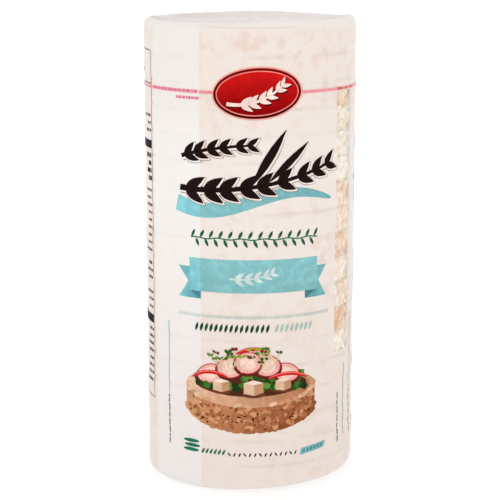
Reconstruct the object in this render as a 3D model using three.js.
// A tall round pack of thin puffed rice cakes, standing on its end: eighteen cakes stacked face to
// face and sealed in a tight printed film. The pack is one closed solid out to the film, which dips
// between the cakes, is folded in pleats over both ends, laps over itself along one side and carries
// a tear tape. Millimetres, +Z up, the origin at the middle of the base and the printed front
// facing -Y. Angles are in degrees, from 0 at the front, growing towards +X.
import * as THREE from 'three';
import { mergeVertices } from 'three/addons/utils/BufferGeometryUtils.js';

// The stack of cakes inside the film
const CAKE_COUNT = 18;
const CAKE_PITCH = 11; // from one cake's underside to the next
const STACK_BASE = 1; // folded film under the lowest cake
const CAKE_SHIFT = 0.2; // how far a cake may sit off the pack's axis
const CAKE_SWELL = 0.14; // how much a wide cake pushes the film out

// The film round them
const PACK_HEIGHT = 202; // up to the crest of the top rim, where nothing lifts it
const FOOT_RADIUS = 45.7; // round the lowest cake
const HEAD_RADIUS = 46.25; // round the highest cake
const GROOVE_DEPTH = 0.26; // dip of the film between two cakes
const GROOVE_SHARPNESS = 4; // power of the curve from one groove to the next
const SHOULDER_RADIUS = 2.8; // round over the top edge
const FOOT_ROUND = 3.7; // mean round under the bottom edge
const FOOT_ROUND_SPREAD = 1.2; // the right side of the foot is rounder than the left
const FOOT_LIFT = 1.35; // how far the foot stands off the ground on the right of the front

// The lap, where one edge of the film lies over the other
const LAP_ANGLE = -27; // the free edge
const LAP_WIDTH = 38; // degrees of double film behind it
const LAP_RISE = 0.22; // step at the free edge
const LAP_STEP = 0.4; // degrees that the step takes

// The tear tape, a narrow ridge under the film
const TAPE_HEIGHT = 173.4;
const TAPE_WIDTH = 1.3;
const TAPE_RISE = 0.15;
const TAPE_FLANK = 0.2;

// The folded ends
const PLEAT_COUNT = 13;
const PLEAT_RISE = 0.32;
const PLEAT_TWIST = 34; // degrees that a pleat turns on its way from the rim to the centre
const TOP_DISH_DEPTH = 2.4;
const TOP_DISH_SLOPE = 7; // width of the slope from the rim down to the dish
const RIM_WAVE = 0.25; // unevenness of the rim's crest
const RIM_LIFT = 1; // how far the drawn-up film lifts the rim on the right
const RIM_FOLD_SHARE = 0.45; // part of that lift made by one fold at the front
const RIM_SAG = 0.5; // dip of the rim on both sides of the back
const FOOT_RING_WIDTH = 4; // flat ring that the pack stands on
const FOOT_HOLLOW = 0.7; // height of the folds inside that ring

const COLUMNS = 52;
const ROUND_STEPS = 4;
const CAKE_ROW_PHASES = [0, 0.22, 0.78]; // groove, then the lower and upper end of the cake's face
const RANDOM_SEED = 18;

const film = new THREE.MeshStandardMaterial({ color: 0xf3ebe5, roughness: 0.34, metalness: 0 });

const radians = THREE.MathUtils.degToRad;
const { lerp, smoothstep } = THREE.MathUtils;

// --- Uneven stacking -----------------------------------------------------------------------------

function seededRandom(seed) {
  let state = seed;
  return () => {
    state = (state * 16807) % 2147483647;
    return state / 2147483647;
  };
}

// Each cake sits a little off the axis and is a little wider or narrower than the next.
function stackCakes() {
  const random = seededRandom(RANDOM_SEED);
  return Array.from({ length: CAKE_COUNT }, () => ({
    direction: 360 * random(),
    shift: CAKE_SHIFT * random(),
    swell: CAKE_SWELL * (random() - 0.5),
  }));
}

const cakes = stackCakes();

function cakePush(index, angle) {
  const cake = cakes[THREE.MathUtils.clamp(index, 0, CAKE_COUNT - 1)];
  return cake.swell + cake.shift * Math.cos(radians(angle - cake.direction));
}

// --- Side wall -----------------------------------------------------------------------------------

// The film's extra thickness grows from the hidden edge of the lap to its free edge.
function lapRiseAt(angle) {
  const intoLap = angle - (LAP_ANGLE + 360 - LAP_WIDTH);
  return LAP_RISE * THREE.MathUtils.clamp(intoLap / LAP_WIDTH, 0, 1);
}

function wallRadius(angle, height) {
  const stackPlace = (height - STACK_BASE) / CAKE_PITCH;
  const index = Math.floor(stackPlace + 1e-6);
  const phase = stackPlace - index;
  const inGroove = Math.abs(phase) < 1e-3;
  const push = inGroove
    ? (cakePush(index - 1, angle) + cakePush(index, angle)) / 2
    : cakePush(index, angle);
  const dip = GROOVE_DEPTH * Math.abs(2 * phase - 1) ** GROOVE_SHARPNESS;
  return lerp(FOOT_RADIUS, HEAD_RADIUS, height / PACK_HEIGHT) + push - dip + lapRiseAt(angle);
}

// --- Rows of the surface, from the centre of the base up the side to the centre of the top -------
// Each row gives the radius and height of the film at an angle.

// 0 to 180 on the right of the front and 0 to -180 on its left
function turnFromFront(angle) {
  return angle > 180 ? angle - 360 : angle;
}

function footRoundAt(angle) {
  return FOOT_ROUND + FOOT_ROUND_SPREAD * Math.sin(radians(angle));
}

// The pack stands on the rest of its foot ring, on the left and all round the back.
function footLiftAt(angle) {
  const turn = turnFromFront(angle);
  return FOOT_LIFT * smoothstep(turn, -50, 48) * (1 - smoothstep(turn, 58, 110));
}

function pleatWave(angle, share) {
  const turned = angle + PLEAT_TWIST * (1 - share);
  const place = (turned * PLEAT_COUNT) / 360;
  return 1 - 2 * Math.abs(place - Math.floor(place) - 0.5) * 2;
}

// share is the radius as a part of the ring that the pleats start from.
function baseFoldRow(share) {
  return (angle) => {
    const ring = FOOT_RADIUS - FOOT_ROUND - FOOT_RING_WIDTH;
    const rise = FOOT_HOLLOW * (1 - share) ** 0.3;
    const pleat = 0.5 * FOOT_HOLLOW * Math.sin(Math.PI * share) * (pleatWave(angle, share) + 1) / 2;
    return { radius: ring * share, height: Math.max(rise - pleat, 0) };
  };
}

function footRingRow(inner) {
  return (angle) => ({
    radius: inner
      ? FOOT_RADIUS - FOOT_ROUND - FOOT_RING_WIDTH
      : wallRadius(angle, footRoundAt(angle)) - footRoundAt(angle),
    height: footLiftAt(angle),
  });
}

function footRoundRow(turn) {
  return (angle) => {
    const round = footRoundAt(angle);
    const wall = wallRadius(angle, FOOT_ROUND);
    return {
      radius: wall - round * (1 - Math.sin(radians(turn))),
      height: footLiftAt(angle) + round * (1 - Math.cos(radians(turn))),
    };
  };
}

function wallRow(height) {
  return (angle) => ({ radius: wallRadius(angle, height), height });
}

function tapeRow(height, rise) {
  return (angle) => ({ radius: wallRadius(angle, height) + rise, height });
}

// The lift starts at a fold in the middle of the front, is full on the right and ends behind it.
function rimLiftAt(turn) {
  const fold = RIM_FOLD_SHARE * smoothstep(turn, -7, 4);
  const climb = (1 - RIM_FOLD_SHARE) * smoothstep(turn, 30, 85);
  return RIM_LIFT * (fold + climb) * (1 - smoothstep(turn, 88, 118));
}

function rimSagAt(turn) {
  const fromFront = Math.abs(turn);
  return RIM_SAG * smoothstep(fromFront, 90, 122) * (1 - smoothstep(fromFront, 142, 175));
}

function rimHeightAt(angle) {
  const turn = turnFromFront(angle);
  const wave = Math.sin(radians(3 * angle + 40)) * 0.5 + Math.sin(radians(7 * angle)) * 0.5;
  return PACK_HEIGHT - RIM_WAVE * (1 - wave) / 2 + rimLiftAt(turn) - rimSagAt(turn);
}

function shoulderRow(turn) {
  return (angle) => ({
    radius: wallRadius(angle, PACK_HEIGHT - SHOULDER_RADIUS)
      - SHOULDER_RADIUS * (1 - Math.cos(radians(turn))),
    height: rimHeightAt(angle) - SHOULDER_RADIUS * (1 - Math.sin(radians(turn))),
  });
}

function topFoldRow(share) {
  return (angle) => {
    const rim = wallRadius(angle, PACK_HEIGHT - SHOULDER_RADIUS) - SHOULDER_RADIUS;
    const radius = rim * share;
    const sunk = smoothstep(rim - radius, 0, TOP_DISH_SLOPE);
    const pleat = PLEAT_RISE * sunk * Math.sin(Math.PI * share) * pleatWave(angle, share);
    return { radius, height: lerp(rimHeightAt(angle), PACK_HEIGHT - TOP_DISH_DEPTH, sunk) + pleat };
  };
}

function steps(count, from, to) {
  return Array.from({ length: count }, (_, i) => lerp(from, to, i / (count - 1)));
}

function cakeRows() {
  const rows = [];
  for (let cake = 0; cake < CAKE_COUNT; cake += 1) {
    for (const phase of CAKE_ROW_PHASES) {
      const height = STACK_BASE + (cake + phase) * CAKE_PITCH;
      const clearOfFoot = height > FOOT_ROUND + FOOT_ROUND_SPREAD + FOOT_LIFT;
      const clearOfShoulder = height < PACK_HEIGHT - SHOULDER_RADIUS - RIM_WAVE - RIM_SAG;
      if (clearOfFoot && clearOfShoulder) rows.push({ height, row: wallRow(height) });
    }
  }
  return rows;
}

function tapeRows() {
  const half = TAPE_WIDTH / 2;
  return [
    [TAPE_HEIGHT - half - TAPE_FLANK, 0],
    [TAPE_HEIGHT - half, TAPE_RISE],
    [TAPE_HEIGHT + half, TAPE_RISE],
    [TAPE_HEIGHT + half + TAPE_FLANK, 0],
  ].map(([height, rise]) => ({ height, row: tapeRow(height, rise) }));
}

function wallRows() {
  return [...cakeRows(), ...tapeRows()].sort((a, b) => a.height - b.height).map((one) => one.row);
}

const rows = [
  ...[0, 0.3, 0.6, 0.85].map(baseFoldRow),
  footRingRow(true),
  footRingRow(false),
  ...steps(ROUND_STEPS, 90 / ROUND_STEPS, 90).map(footRoundRow),
  ...wallRows(),
  ...steps(ROUND_STEPS + 1, 0, 90).map(shoulderRow),
  ...[0.96, 0.9, 0.83, 0.65, 0.4, 0.18, 0].map(topFoldRow),
];

// --- The closed surface --------------------------------------------------------------------------

// The columns start just in front of the lap's free edge and run once round the pack to the edge.
function columnAngles() {
  const first = LAP_ANGLE + LAP_STEP;
  return [...steps(COLUMNS + 1, first, LAP_ANGLE + 360), first];
}

// A lathe turns a plain profile with one point for each row, and each of its points is then moved
// to the row's own place at the column's angle.
function packGeometry() {
  const profile = rows.map((row) => {
    const { radius, height } = row(0);
    return new THREE.Vector2(radius, height);
  });
  const angles = columnAngles();
  const geometry = new THREE.LatheGeometry(profile, angles.length - 1);
  const position = geometry.getAttribute('position');
  for (let i = 0; i < position.count; i += 1) {
    const angle = angles[Math.floor(i / rows.length)];
    const { radius, height } = rows[i % rows.length](angle);
    position.setXYZ(
      i,
      radius * Math.sin(radians(angle)),
      -radius * Math.cos(radians(angle)),
      height,
    );
  }
  geometry.deleteAttribute('normal');
  geometry.deleteAttribute('uv');
  const closed = mergeVertices(geometry, 1e-4);
  closed.computeBoundingBox();
  const { min, max } = closed.boundingBox;
  closed.translate(-(min.x + max.x) / 2, -(min.y + max.y) / 2, -min.z);
  closed.computeVertexNormals();
  return closed;
}

const pack = new THREE.Mesh(packGeometry(), film);
pack.name = 'wrapped_cake_stack';

const object = new THREE.Group();
object.add(pack);

export default object;
